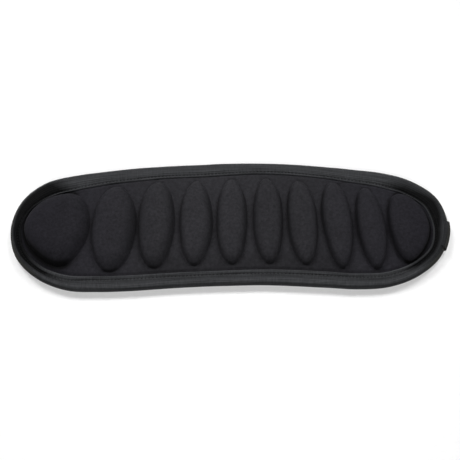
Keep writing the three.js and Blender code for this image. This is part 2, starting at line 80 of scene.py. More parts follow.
# how far in from the edge the tape reaches on the cell side, at each point of the outline: folded over furthest round the far right corner
TAPE_REACH = [
    8.8, 8.3, 7.9, 9.0, 9.3, 9.3, 9.2, 9.0, 9.0, 9.3, 9.6, 9.6, 9.4, 9.2, 8.9, 9.6,
    13.0, 14.4, 14.8, 13.8, 12.8, 11.3, 11.0, 10.7, 11.9, 12.1, 11.8, 12.5, 12.7, 14.0, 15.0, 12.7]
SEAM_TOP, SEAM_BACK = 8.1, 7.6
PITCH = 2.55
LAP_FROM, LAP_TO = (149.9, -18.2), (153.4, 1.7)
LAP_T = 1.3
KEEPER_X, WEB_W = 78.0, 38.0
HINGE_Y, HINGE_Z = 24.2, 0.9


# ------------------------------------------------------------------ small maths
def smooth(x):
    t = np.clip(x, 0, 1)
    return t * t * (3 - 2 * t)


def closed_curve(points, n):
    """Centripetal Catmull-Rom through points, closed, as n points the same distance apart."""
    P = np.array(points, float)
    count, out = len(P), []
    for i in range(count):
        p0, p1, p2, p3 = P[i - 1], P[i], P[(i + 1) % count], P[(i + 2) % count]
        d0, d1, d2 = (math.sqrt(np.linalg.norm(b - a)) for a, b in ((p0, p1), (p1, p2), (p2, p3)))
        t1 = ((p1 - p0) / d0 - (p2 - p0) / (d0 + d1) + (p2 - p1) / d1) * d1
        t2 = ((p2 - p1) / d1 - (p3 - p1) / (d1 + d2) + (p3 - p2) / d2) * d1
        u = np.linspace(0, 1, 120, endpoint=False)[:, None]
        out.append(p1 + t1 * u + (-3 * p1 + 3 * p2 - 2 * t1 - t2) * u**2 + (2 * p1 - 2 * p2 + t1 + t2) * u**3)
    return along(np.vstack(out), n)


def along(Q, n):
    R = np.vstack([Q, Q[:1]])
    s = np.concatenate([[0], np.cumsum(np.linalg.norm(np.diff(R, axis=0), axis=1))])
    t = np.linspace(0, s[-1], n, endpoint=False)
    return np.stack([np.interp(t, s, R[:, k]) for k in range(R.shape[1])], 1)


def open_spline(points, step):
    """A smooth open line through points, about step apart."""
    P = np.array(points, float)
    P = np.vstack([2 * P[0] - P[1], P, 2 * P[-1] - P[-2]])
    out = []
    for i in range(1, len(P) - 2):
        p0, p1, p2, p3 = P[i - 1:i + 3]
        d0, d1, d2 = (math.sqrt(max(1e-6, np.linalg.norm(b - a))) for a, b in ((p0, p1), (p1, p2), (p2, p3)))
        t1 = ((p1 - p0) / d0 - (p2 - p0) / (d0 + d1) + (p2 - p1) / d1) * d1
        t2 = ((p2 - p1) / d1 - (p3 - p1) / (d1 + d2) + (p3 - p2) / d2) * d1
        n = max(1, int(round(np.linalg.norm(p2 - p1) / step)))
        u = np.linspace(0, 1, n, endpoint=False)[:, None]
        out.append(p1 + t1 * u + (-3 * p1 + 3 * p2 - 2 * t1 - t2) * u**2 + (2 * p1 - 2 * p2 + t1 + t2) * u**3)
    return np.vstack(out + [P[-2:-1]])


def lattice(seed, n=64):
    return np.random.default_rng(seed).uniform(-1, 1, (n, n))


def noise2(x, y, size, seed):
    """Smooth seeded noise, -1 to 1, with features about size across."""
    g = lattice(seed)
    u, v = np.asarray(x) / size + 1000, np.asarray(y) / size + 1000
    i, j = np.floor(u).astype(int), np.floor(v).astype(int)
    fu, fv = u - i, v - j
    fu, fv = fu**3 * (fu * (fu * 6 - 15) + 10), fv**3 * (fv * (fv * 6 - 15) + 10)
    n = g.shape[0]
    a, b, c, d = g[i % n, j % n], g[(i + 1) % n, j % n], g[i % n, (j + 1) % n], g[(i + 1) % n, (j + 1) % n]
    return (a * (1 - fu) + b * fu) * (1 - fv) + (c * (1 - fu) + d * fu) * fv


# ------------------------------------------------------------------ outline, and distance in from it
EDGE = closed_curve([np.add(p, SHIFT) for p in OUTLINE], 2800)
_next, _prev = np.roll(EDGE, -6, 0), np.roll(EDGE, 6, 0)
TAN = (_next - _prev) / np.linalg.norm(_next - _prev, axis=1)[:, None]
NRM = np.stack([-TAN[:, 1], TAN[:, 0]], 1)           # points inwards: the outline runs anticlockwise
LENGTH = float(np.linalg.norm(np.roll(EDGE, -1, 0) - EDGE, axis=1).sum())
_tree = KDTree(len(EDGE))
for _i, _p in enumerate(EDGE):
    _tree.insert((_p[0], _p[1], 0), _i)
_tree.balance()


def inset_of(points):
    """Distance in from the edge; negative outside."""
    out = np.empty(len(points))
    for k, p in enumerate(points):
        _, i, _ = _tree.find((p[0], p[1], 0))
        out[k] = (p - EDGE[i]) @ NRM[i]
    return out


def edge_at(s):
    """Point and inward normal at length s along the edge."""
    t = (np.asarray(s, float) % LENGTH) / LENGTH * len(EDGE)
    i = np.floor(t).astype(int) % len(EDGE)
    f = (t - np.floor(t))[..., None]
    j = (i + 1) % len(EDGE)
    n = NRM[i] * (1 - f) + NRM[j] * f
    return EDGE[i] * (1 - f) + EDGE[j] * f, n / np.linalg.norm(n, axis=-1, keepdims=True)


def s_near(p):
    q = np.add(p, SHIFT)
    return float(np.argmin(np.linalg.norm(EDGE - q, axis=1)) / len(EDGE) * LENGTH)


def _reach():
    at = [s_near(p) for p in OUTLINE]
    r = np.interp(np.arange(len(EDGE)) * LENGTH / len(EDGE), at, TAPE_REACH, period=LENGTH)
    k = np.exp(-(np.arange(-80, 81) / 32.0) ** 2)
    return np.convolve(np.concatenate([r[-80:], r, r[:80]]), k / k.sum(), "valid")


REACH = _reach()


def reach_at(s):
    t = (np.asarray(s, float) % LENGTH) / LENGTH * len(EDGE)
    return np.interp(t, np.arange(len(EDGE) + 1), np.append(REACH, REACH[0]))


# from the seam to the tape's inner edge: widest on the hollow side towards the left end
LIP = 2.25 + 0.4 * NRM[:, 1] + 0.8 * smooth((-EDGE[:, 0] - 95) / 25) * np.clip(NRM[:, 1], 0, 1)


def lip_at(s):
    t = (np.asarray(s, float) % LENGTH) / LENGTH * len(EDGE)
    return np.interp(t, np.arange(len(EDGE) + 1), np.append(LIP, LIP[0]))


def cover_inset(points):
    """Like inset_of, but counted so that the tape's inner edge is always at TAPE_IN."""
    d = inset_of(points)
    r = np.array([REACH[_tree.find((p[0], p[1], 0))[1]] for p in points])
    return d - (r - TAPE_IN) * smooth((d - 3.0) / 5.0)


# ------------------------------------------------------------------ heights of the layers
def back(d):
    return smooth((d - 3.5) / 7)


def cover_base(d):
    """Top of the cover between the cells: it dips under the binding and swells up beside it."""
    return 6.0 + 2.95 * smooth((d - 3.5) / 6.0) + 1.05 * smooth((d - 9.9) / 2.2)


def lining_z(d):
    return 1.3 + 2.9 * back(d)


# ------------------------------------------------------------------ meshes
def mesh_object(name, verts, faces, material, uv=None, smooth_shade=True):
    me = bpy.data.meshes.new(name)
    me.from_pydata([tuple(v) for v in (np.asarray(verts, float) * MM)], [], [tuple(int(i) for i in f) for f in faces])
    me.update()
    if uv is not None:
        layer = me.uv_layers.new(name="UVMap")
        loops = np.empty(len(me.loops), int)
        me.loops.foreach_get("vertex_index", loops)
        layer.data.foreach_set("uv", np.asarray(uv, np.float32)[loops].ravel())
    if smooth_shade:
        me.polygons.foreach_set("use_smooth", np.ones(len(me.polygons), bool))
    me.materials.append(material)
    ob = bpy.data.objects.new(name, me)
    bpy.context.scene.collection.objects.link(ob)
    return ob


def grid_faces(rows, cols, close_rows=False, close_cols=False):
    R = rows if close_rows else rows - 1
    C = cols if close_cols else cols - 1
    i, j = np.meshgrid(np.arange(R), np.arange(C), indexing="ij")
    a = i * cols + j
    b = ((i + 1) % rows) * cols + j
    c = ((i + 1) % rows) * cols + (j + 1) % cols
    d = i * cols + (j + 1) % cols
    return np.stack([a, b, c, d], -1).reshape(-1, 4)


def inside(poly, pts):
    """Which pts lie inside the closed polygon."""
    x, y = pts[:, 0], pts[:, 1]
    hit = np.zeros(len(pts), bool)
    a, b = poly, np.roll(poly, -1, 0)
    for (x1, y1), (x2, y2) in zip(a, b):
        cond = (y1 > y) != (y2 > y)
        if cond.any():
            xi = (x2 - x1) * (y - y1) / (y2 - y1 + 1e-12) + x1
            hit ^= cond & (x < xi)
    return hit


def filled(outer, holes, pitch, rings=(), seed=3):
    """Triangles over the region inside outer and outside the holes. Returns points and faces; the first points are outer, then each hole."""
    loops = [outer] + list(holes)
    pts = [np.asarray(l) for l in loops]
    edges, base = [], 0
    for l in loops:
        n = len(l)
        edges += [(base + k, base + (k + 1) % n) for k in range(n)]
        base += n
    lo, hi = outer.min(0), outer.max(0)
    rng = np.random.default_rng(seed)
    gy = np.arange(lo[1], hi[1], pitch * 0.866)
    extra = []
    for r, y in enumerate(gy):
        gx = np.arange(lo[0] + (r % 2) * pitch / 2, hi[0], pitch)
        extra.append(np.stack([gx, np.full(len(gx), y)], 1))
    extra = np.vstack(extra)
    extra += rng.uniform(-0.12, 0.12, extra.shape) * pitch
    if rings:
        extra = np.vstack([extra] + list(rings))
    extra = extra[inside(outer, extra)]
    for h in holes:
        extra = extra[~inside(h, extra)]
    # keep clear of the boundary loops
    tree = KDTree(base)
    for k, p in enumerate(np.vstack(pts)):
        tree.insert((p[0], p[1], 0), k)
    tree.balance()
    keep = np.array([tree.find((p[0], p[1], 0))[2] > 0.42 * pitch for p in extra])
    extra = extra[keep]
    allp = np.vstack(pts + [extra])
    vo, eo, fo, ov, oe, of_ = delaunay_2d_cdt([Vector((float(p[0]), float(p[1]))) for p in allp], edges, [], 0, 1e-5, True)
    back_to = {}
    for k, o in enumerate(ov):
        back_to[k] = o[0] if len(o) else None
    faces = np.array([[back_to[i] for i in f] for f in fo if all(back_to[i] is not None for i in f)])
    mid = allp[faces].mean(1)
    ok = inside(outer, mid)
    for h in holes:
        ok &= ~inside(h, mid)
    faces = faces[ok]
    a, b, c = allp[faces[:, 0]], allp[faces[:, 1]], allp[faces[:, 2]]
    area = (b[:, 0] - a[:, 0]) * (c[:, 1] - a[:, 1]) - (b[:, 1] - a[:, 1]) * (c[:, 0] - a[:, 0])
    faces[area < 0] = faces[area < 0][:, [0, 2, 1]]
    return allp, faces[np.abs(area) > 1e-7]


# ------------------------------------------------------------------ node helpers
class Nodes:
    def __init__(self, name):
        self.mat = bpy.data.materials.new(name)
        self.mat.use_nodes = True
        self.t = self.mat.node_tree
        self.bsdf = self.t.nodes["Principled BSDF"]

    def node(self, kind, **props):
        n = self.t.nodes.new(kind)
        for k, v in props.items():
            setattr(n, k, v)
        return n

    def link(self, a, b):
        self.t.links.new(a, b)

    def math(self, op, a, b=None, c=None, clamp=False):
        n = self.node("ShaderNodeMath", operation=op, use_clamp=clamp)
        for i, v in enumerate((a, b, c)):
            if v is None:
                continue
            if isinstance(v, (int, float)):
                n.inputs[i].default_value = v
            else:
                self.link(v, n.inputs[i])
        return n.outputs[0]

    def coords(self, kind="Object"):
        tc = self.node("ShaderNodeTexCoord")
        sep = self.node("ShaderNodeSeparateXYZ")
        self.link(tc.outputs[kind], sep.inputs[0])
        return tc.outputs[kind], sep.outputs

    def scale_color(self, color, factor):
        n = self.node("ShaderNodeVectorMath", operation="SCALE")
        self.link(color, n.inputs[0])
        self.link(factor, n.inputs["Scale"])
        return n.outputs[0]

    def noise(self, vector, scale, detail=3.0, rough=0.55):
        n = self.node("ShaderNodeTexNoise")
        n.inputs["Scale"].default_value = scale
        n.inputs["Detail"].default_value = detail
        n.inputs["Roughness"].default_value = rough
        self.link(vector, n.inputs["Vector"])
        return n.outputs["Fac"]

    def scaled(self, vector, sx, sy, sz):
        n = self.node("ShaderNodeMapping")
        n.inputs["Scale"].default_value = (sx, sy, sz)
        self.link(vector, n.inputs["Vector"])
        return n.outputs[0]

    def ramp(self, fac, stops):
        n = self.node("ShaderNodeValToRGB")
        e = n.color_ramp.elements
        while len(e) > 1:
            e.remove(e[-1])
        e[0].position, e[0].color = stops[0][0], (*stops[0][1], 1)
        for p, c in stops[1:]:
            k = e.new(p)
            k.color = (*c, 1)
        self.link(fac, n.inputs["Fac"])
        return n.outputs["Color"]

    def mix(self, fac, a, b):
        n = self.node("ShaderNodeMix", data_type="RGBA")
        if isinstance(fac, (int, float)):
            n.inputs[0].default_value = fac
        else:
            self.link(fac, n.inputs[0])
        for i, v in ((6, a), (7, b)):
            if isinstance(v, tuple):
                n.inputs[i].default_value = (*v, 1)
            else:
                self.link(v, n.inputs[i])
        return n.outputs[2]

    def bump(self, height, distance, strength=1.0, under=None):
        n = self.node("ShaderNodeBump")
        n.inputs["Distance"].default_value = distance
        n.inputs["Strength"].default_value = strength
        self.link(height, n.inputs["Height"])
        if under is not None:
            self.link(under, n.inputs["Normal"])
        return n.outputs[0]

    def finish(self, color=None, rough=None, normal=None, **fixed):
        if color is not None:
            self.link(color, self.bsdf.inputs["Base Color"])
        if rough is not None:
            self.link(rough, self.bsdf.inputs["Roughness"])
        if normal is not None:
            self.link(normal, self.bsdf.inputs["Normal"])
        for k, v in fixed.items():
            self.bsdf.inputs[k.replace("_", " ")].default_value = v
        return self.mat


def grey(v, cool=0.0):
    return (v * (1 - 0.25 * cool), v * (1 - 0.4 * cool), v * (1 + 0.5 * cool))


def steel(v):
    return (v * 0.975, v, v * 1.065)


def knit_material(name, wale=0.62, course=0.5, dark=0.010, light=0.024, cool=(0.15, 0.32), depth=0.00006):
    """Fine jersey: columns of V-shaped loops."""
    n = Nodes(name)
    vec, (x, y, z) = n.coords()
    warp = n.noise(n.scaled(vec, 1, 1, 1), 90, 2)
    u = n.math("MULTIPLY", x, 1000 / wale)
    u = n.math("ADD", u, n.math("MULTIPLY", warp, 0.5))
    v = n.math("MULTIPLY", y, 1000 / course)
    a = n.math("FRACT", u)
    b = n.math("MULTIPLY", n.math("ABSOLUTE", n.math("SUBTRACT", a, 0.5)), 2.0)
    t = n.math("ADD", v, n.math("MULTIPLY", b, 0.9))
    rows = n.math("MULTIPLY_ADD", n.math("COSINE", n.math("MULTIPLY", t, 2 * math.pi)), 0.5, 0.5)
    legs = n.math("ABSOLUTE", n.math("SINE", n.math("MULTIPLY", u, 2 * math.pi)))
    loops = n.math("ADD", n.math("MULTIPLY", rows, 0.5), n.math("MULTIPLY", legs, 0.5))
    fibre = n.noise(vec, 2600, 4, 0.7)
    blot = n.noise(vec, 55, 4)
    shade = n.math("ADD", n.math("MULTIPLY", loops, 0.55), n.math("ADD", n.math("MULTIPLY", fibre, 0.3), n.math("MULTIPLY", blot, 0.35)))
    out = n.math("MULTIPLY", n.math("SUBTRACT", n.math("ABSOLUTE", x), 0.05), 1 / 0.1, clamp=True)
    col = n.mix(out, *(n.ramp(shade, [(0.15, grey(dark, c)), (0.95, grey(light, c))]) for c in cool))
    grain = n.noise(vec, 560, 3, 0.65)
    col = n.scale_color(col, n.math("MULTIPLY_ADD", grain, 1.3, 0.35))
    mottle = n.noise(vec, 300, 3, 0.6)
    col = n.scale_color(col, n.math("MULTIPLY_ADD", mottle, 0.5, 0.75))
    # painted light: the cloth is lightened across the middle and darkened towards both ends, most at the far left and
    # right, standing in for light that falls off along the pad
    mid = n.math("MULTIPLY", n.math("ADD", x, 0.012), 1 / 0.03)
    mid = n.math("EXPONENT", n.math("MULTIPLY", n.math("MULTIPLY", mid, mid), -1.0))
    left = n.math("MULTIPLY", n.math("SUBTRACT", -0.095, x), 1 / 0.02, clamp=True)
    right = n.math("MULTIPLY", n.math("SUBTRACT", x, 0.108), 1 / 0.01, clamp=True)
    painted_light_falloff = n.math("ADD", n.math("MULTIPLY_ADD", mid, 0.14, 1.0), n.math("MULTIPLY", out, -0.25))
    painted_light_falloff = n.math("ADD", painted_light_falloff, n.math("ADD", n.math("MULTIPLY", left, -0.15), n.math("MULTIPLY", right, -0.12)))
    col = n.scale_color(col, painted_light_falloff)
    # painted shade: a per-point attribute darkens the cloth where shade falls between and around the cells
    painted_shade = n.node("ShaderNodeAttribute", attribute_name="painted_shade")
    col = n.scale_color(col, n.math("MULTIPLY_ADD", painted_shade.outputs["Fac"], -0.62, 1.0))
    rough = n.math("MULTIPLY_ADD", fibre, 0.12, 0.82)
    nrm = n.bump(loops, depth)
    nrm = n.bump(fibre, depth * 0.7, 0.7, nrm)
    return n.finish(col, rough, nrm, Sheen_Weight=0.0, Specular_IOR_Level=0.1)


def tape_material(name, dark=0.012, light=0.0470):
    """Folded binding tape: fine lengthwise ribs, crossed by close weft; UV is millimetres along and across."""
    n = Nodes(name)
    vec, (u, v, w) = n.coords("UV")
    ovec, (ox, oy, oz) = n.coords()
    ribs = n.math("MULTIPLY_ADD", n.math("COSINE", n.math("MULTIPLY", v, 2 * math.pi / 0.95)), 0.5, 0.5)
    weft = n.math("MULTIPLY_ADD", n.math("COSINE", n.math("MULTIPLY", u, 2 * math.pi / 0.42)), 0.5, 0.5)
    streak = n.noise(n.scaled(vec, 0.03, 1.3, 1), 1.0, 4, 0.6)
    fibre = n.noise(ovec, 2400, 4, 0.7)
    pull = n.noise(n.scaled(vec, 0.35, 0.12, 1), 1.0, 3)
    cross = n.noise(n.scaled(vec, 1.1, 0.16, 1), 1.0, 3, 0.6)
    shade = n.math("ADD", n.math("MULTIPLY", streak, 0.9), n.math("ADD", n.math("MULTIPLY", ribs, 0.12), n.math("MULTIPLY", fibre, 0.12)))
    shade = n.math("ADD", shade, n.math("MULTIPLY_ADD", cross, 0.45, -0.22))
    col = n.ramp(shade, [(0.30, steel(dark)), (0.80, steel(light))])
    # painted shade and light: darker round the two ends, where the tape is worked round them and little light reaches
    # it; lighter along the near side and on its sewn edge, a painted highlight
    near = n.math("MULTIPLY", n.math("SUBTRACT", -0.026, oy), 1 / 0.012, clamp=True)
    start = n.math("ADD", n.math("MULTIPLY_ADD", v, 0.0020, 0.100), n.math("MULTIPLY", near, 0.009))
    painted_ends_mask = n.math("MULTIPLY", n.math("SUBTRACT", n.math("ABSOLUTE", ox), start), 1 / 0.014, clamp=True)
    low_right = n.math("MULTIPLY", n.math("MULTIPLY", n.math("SUBTRACT", ox, 0.1), 1 / 0.03, clamp=True), n.math("MULTIPLY", n.math("SUBTRACT", 0.014, oy), 1 / 0.02, clamp=True))
    low_left = n.math("MULTIPLY", n.math("MULTIPLY", n.math("SUBTRACT", -0.1, ox), 1 / 0.03, clamp=True), n.math("MULTIPLY", n.math("SUBTRACT", -0.012, oy), 1 / 0.02, clamp=True))
    limit = n.math("ADD", n.math("MULTIPLY_ADD", low_right, -2.3, 9.1), n.math("MULTIPLY", low_left, -2.6))
    limit = n.math("ADD", limit, n.math("MULTIPLY_ADD", streak, 3.0, -1.5))
    far_right = n.math("MULTIPLY", n.math("MULTIPLY", n.math("SUBTRACT", ox, 0.1), 1 / 0.01, clamp=True), n.math("MULTIPLY", n.math("SUBTRACT", oy, 0.002), 1 / 0.02, clamp=True))
    slope = n.math("ADD", n.math("MULTIPLY_ADD", far_right, 0.2 - 1 / 1.6, 1 / 1.6), n.math("MULTIPLY", low_right, -0.27))
    band = n.math("MULTIPLY", n.math("SUBTRACT", limit, v), slope, clamp=True)
    on_lip = n.math("MULTIPLY", n.math("SUBTRACT", 2.3, v), 1 / 0.7, clamp=True)
    left_end = n.math("MULTIPLY", n.math("SUBTRACT", -0.1, ox), 1 / 0.03, clamp=True)
    lip_far = n.math("MULTIPLY", n.math("SUBTRACT", n.math("ABSOLUTE", ox), 0.124), 1 / 0.016, clamp=True)
    lip_dark = n.math("MULTIPLY", lip_far, n.math("MULTIPLY_ADD", left_end, 0.48, 0.45))
    band = n.math("MULTIPLY", band, n.math("SUBTRACT", 1.0, n.math("MULTIPLY", on_lip, n.math("SUBTRACT", 1.0, lip_dark))))
    rim = n.math("MULTIPLY", n.math("SUBTRACT", v, 9.0), 1 / 1.2, clamp=True)
    between = n.math("MULTIPLY", n.math("ADD", low_left, low_right, clamp=True), n.math("MULTIPLY", n.math("SUBTRACT", v, n.math("ADD", limit, -0.4)), 1 / 1.2, clamp=True))
    # painted shade: a little darker beside the black band at the low corners of the ends
    col = n.scale_color(col, n.math("MULTIPLY_ADD", n.math("MULTIPLY", painted_ends_mask, between), -0.3, 1.0))
    deep = n.math("ADD", n.math("MULTIPLY_ADD", ribs, -0.05, 0.985), n.math("MULTIPLY_ADD", cross, -0.16, 0.06))
    # painted shade: a near-black band across the tape round the ends
    col = n.mix(n.math("MULTIPLY", n.math("MULTIPLY", painted_ends_mask, band), deep, clamp=True), col, steel(dark * 0.08))
    # painted reflection: a pale olive rim at the tape's outer edge round the ends
    col = n.mix(n.math("MULTIPLY", n.math("MULTIPLY", painted_ends_mask, rim), 0.5), col, (0.046, 0.045, 0.038))

    def hump(at, width):
        q = n.math("MULTIPLY", n.math("SUBTRACT", v, at), 1 / width)
        return n.math("EXPONENT", n.math("MULTIPLY", n.math("MULTIPLY", q, q), -1.0))

    # painted highlight: a lighter band along the near side and on the sewn edge, with slight painted shade on either
    # side of the band
    lift = n.math("ADD", n.math("MULTIPLY", hump(8.3, 2.1), 0.95), n.math("MULTIPLY", hump(1.0, 0.8), -0.12))
    lift = n.math("ADD", lift, n.math("MULTIPLY", hump(11.2, 0.8), -0.4))
    edge = n.math("MULTIPLY", n.math("SUBTRACT", 2.2, v), 1 / 0.6, clamp=True)
    lift = n.math("ADD", n.math("MULTIPLY", near, lift), n.math("MULTIPLY", edge, 0.3))
    col = n.scale_color(col, n.math("ADD", lift, 1.0))
    nrm = n.bump(pull, 0.0003, 0.6)
    nrm = n.bump(ribs, 0.00014, 1.0, nrm)
    nrm = n.bump(weft, 0.00003, 0.8, nrm)
    nrm = n.bump(fibre, 0.00004, 0.7, nrm)
    return n.finish(col, n.math("MULTIPLY_ADD", streak, 0.25, 0.5), nrm, Sheen_Weight=0.0, Specular_IOR_Level=0.035)


def weave_material(name, pitch_x, pitch_y, dark, light, cool, depth, rough0=0.7, coords="Object", scale=1000.0, sheen=0.15):
    """Plain weave of two sets of yarns."""
    n = Nodes(name)
    vec, (x, y, z) = n.coords(coords)
    ovec, _ = n.coords()
    px = n.math("MULTIPLY", x, scale * math.pi / pitch_x)
    py = n.math("MULTIPLY", y, scale * math.pi / pitch_y)
    sx, sy = n.math("SINE", px), n.math("SINE", py)
    over = n.math("MULTIPLY", n.math("COSINE", px), n.math("COSINE", py))
    yarns = n.math("ADD", n.math("MULTIPLY", n.math("ABSOLUTE", sx), 0.5), n.math("MULTIPLY", n.math("ABSOLUTE", sy), 0.5))
    body = n.math("ADD", yarns, n.math("MULTIPLY", over, 0.25))
    fibre = n.noise(ovec, 2800, 4, 0.7)
    blot = n.noise(ovec, 45, 4)
    shade = n.math("ADD", n.math("MULTIPLY", body, 0.45), n.math("ADD", n.math("MULTIPLY", fibre, 0.25), n.math("MULTIPLY", blot, 0.35)))
    col = n.ramp(shade, [(0.15, grey(dark, cool)), (0.95, grey(light, cool))])
    rough = n.math("MULTIPLY_ADD", fibre, 0.15, rough0)
    nrm = n.bump(body, depth)
    nrm = n.bump(fibre, depth * 0.5, 0.6, nrm)
    return n.finish(col, rough, nrm, Sheen_Weight=sheen, Sheen_Roughness=0.45, Specular_IOR_Level=0.3)


def pile_material(name, scale, dark, light, depth, rough0=0.85, sheen=0.5):
    """Hooks or loops: a close field of small bristles."""
    n = Nodes(name)
    vec, _ = n.coords()
    cell = n.node("ShaderNodeTexVoronoi", feature="F1")
    cell.inputs["Scale"].default_value = scale
    n.link(vec, cell.inputs["Vector"])
    dots = n.math("SUBTRACT", 1.0, cell.outputs["Distance"], clamp=True)
    fibre = n.noise(vec, scale * 2.2, 4, 0.75)
    blot = n.noise(vec, 60, 3)
    shade = n.math("ADD", n.math("MULTIPLY", dots, 0.45), n.math("ADD", n.math("MULTIPLY", fibre, 0.35), n.math("MULTIPLY", blot, 0.25)))
    col = n.ramp(shade, [(0.25, grey(dark)), (0.9, grey(light))])
    nrm = n.bump(dots, depth)
    nrm = n.bump(fibre, depth * 0.6, 0.8, nrm)
    return n.finish(col, n.math("MULTIPLY_ADD", fibre, 0.1, rough0), nrm, Sheen_Weight=sheen, Sheen_Roughness=0.6, Specular_IOR_Level=0.25)


def foam_material(name, dark, light):
    """Closed-cell foam: fine pores and soft mottling."""
    n = Nodes(name)
    vec, _ = n.coords()
    pore = n.node("ShaderNodeTexVoronoi", feature="F1")
    pore.inputs["Scale"].default_value = 1700
    n.link(vec, pore.inputs["Vector"])
    blot = n.noise(vec, 80, 4)
    shade = n.math("ADD", n.math("MULTIPLY", pore.outputs["Distance"], 0.6), n.math("MULTIPLY", blot, 0.5))
    col = n.ramp(shade, [(0.2, grey(dark)), (0.9, grey(light))])
    nrm = n.bump(pore.outputs["Distance"], 0.0001, 0.8)
    return n.finish(col, n.math("MULTIPLY_ADD", blot, 0.12, 0.82), nrm, Specular_IOR_Level=0.3)


def thread_material(name, dark=0.002, light=0.006):
    """Twisted sewing thread; UV is millimetres along and turns around."""
    n = Nodes(name)
    vec, (u, v, w) = n.coords("UV")
    ply = n.math("MULTIPLY_ADD", n.math("SINE", n.math("ADD", n.math("MULTIPLY", u, 2 * math.pi / 0.55), n.math("MULTIPLY", v, 2 * math.pi))), 0.5, 0.5)
    ovec, _ = n.coords()
    fibre = n.noise(ovec, 3500, 3, 0.7)
    col = n.ramp(n.math("ADD", n.math("MULTIPLY", ply, 0.7), n.math("MULTIPLY", fibre, 0.3)), [(0.1, grey(dark)), (0.95, grey(light))])
    nrm = n.bump(ply, 0.00006)
    return n.finish(col, n.math("MULTIPLY_ADD", fibre, 0.2, 0.4), nrm, Sheen_Weight=0.0, Specular_IOR_Level=0.1)


MAT = {
    "cover": knit_material("cover_knit"),
    "tape": tape_material("binding_tape"),
    "lining": weave_material("lining_weave", 0.55, 0.55, 0.010, 0.022, 0.2, 0.00006),
    "webbing": weave_material("keeper_webbing", 1.3, 0.9, 0.010, 0.026, 0.1, 0.00018, coords="UV", scale=1.0, sheen=0.2, rough0=0.6),
    "hook": pile_material("hook_tape", 1500, 0.006, 0.02, 0.0003, 0.6, 0.1),
    "loop": pile_material("loop_tape", 900, 0.008, 0.026, 0.0004, 0.9, 0.7),
    "cushion": foam_material("cell_foam", 0.03, 0.07),
    "foam": foam_material("base_foam_sheet", 0.02, 0.05),
    "thread": thread_material("sewing_thread"),
}


# ------------------------------------------------------------------ cells
class Cell:
    N = 112

    def __init__(self, k):
        self.k, self.h = k, CELL_HEIGHT[k]
        P = closed_curve([np.add(p, SHIFT) for p in CELLS[k]], self.N)
        nxt = np.roll(P, -1, 0)
        if (P[:, 0] * nxt[:, 1] - nxt[:, 0] * P[:, 1]).sum() < 0:
            P = P[::-1].copy()
        self.P, self.C = P, P.mean(0)
        D = np.linalg.norm(P[:, None] - P[None], axis=2)
        i, j = np.unravel_index(D.argmax(), D.shape)
        self.axis = (P[i] - P[j]) / D[i, j]
        if self.axis[1] < 0:
            self.axis = -self.axis
        self.side = np.array([self.axis[1], -self.axis[0]])    # points to +X for an upright cell
        r = P - self.C
        self.a, self.b = np.abs(r @ self.axis).max(), np.abs(r @ self.side).max()
        self.reach = 0.72 * max(0, self.a - self.b)
        t = np.clip(r @ self.axis, -self.reach, self.reach)
        self.S = self.C + t[:, None] * self.axis
        T = np.roll(P, -1, 0) - np.roll(P, 1, 0)
        T /= np.linalg.norm(T, axis=1)[:, None]
        self.out = np.stack([T[:, 1], -T[:, 0]], 1)
        right, high = self.out @ self.side, self.out @ self.axis
        # how crisp the seam is round the foot: fullest at the low end, less up the left side, hardly at all on the upper right
        self.sharp = np.maximum(LEFT_LINE[k] * np.clip(-self.out[:, 0], 0, 1) * smooth((0.8 - self.out[:, 1]) / 0.6), smooth((-self.out[:, 1] - 0.45) / 0.45))
        self.soft = (np.clip(right, 0, 1) ** 2 * SOFT_RIGHT[k] + np.clip(-right, 0, 1) ** 2 * SOFT_LEFT[k]
                     + np.clip(high, 0, 1) ** 2 * SOFT_HIGH[k] + np.clip(-high, 0, 1) ** 2 * SOFT_LOW[k])

    def ring(self, f, grow=0.0):
        m = 1 - (1 - f) ** 1.7
        return self.C + (self.S - self.C) * m + (self.P + self.out * grow - self.S) * f

    def rise(self, f):
        """Share of the crown's height on the ring at fraction f: a shallow dome on top of a flank."""
        run = np.minimum(0.5 * self.b, 1.6 + (0.42 * self.b - 1.6) * self.soft)    # width of the flank, mm
        p, q, dome = 2.3 / -np.log(1 - run / self.b), 0.75 + 0.25 * self.soft, 0.36 - 0.22 * self.soft
        return dome * (1 - f**2) + (1 - dome) * (1 - f**p) ** q


CELL = [Cell(k) for k in range(len(CELLS))]
TIP_SHADE_AMOUNT = [1.15, 0.95, 1.0, 0.75, 0.7, 0.9, 0.9, 1.0]
FRACTIONS = [1.0, 0.988, 0.97, 0.945, 0.915, 0.88, 0.84, 0.79, 0.73, 0.66, 0.58, 0.5, 0.41, 0.32, 0.22, 0.11]
FILLET = 0.75


def ripple(x, y):
    """Small unevenness of laid fabric, mm."""
    return 0.10 * noise2(x, y, 17, 11) + 0.05 * noise2(x, y, 6.5, 12) + 0.018 * noise2(x, y, 2.6, 13)


def FOLD_D(points):
    """Distance from the little crease pulled up between the eighth cell and the binding."""
    a, b, c = np.array(FOLD[0]) + SHIFT, np.array(FOLD[1]) + SHIFT, np.array(FOLD[2]) + SHIFT
    q, best = points[:, :2], np.full(len(points), 60.0)
    for u, v in ((a, b), (b, c)):
        t = np.clip(((q - u) @ (v - u)) / ((v - u) @ (v - u)), 0, 1)[:, None]
        best = np.minimum(best, np.linalg.norm(q - (u + (v - u) * t), axis=1))
    return best


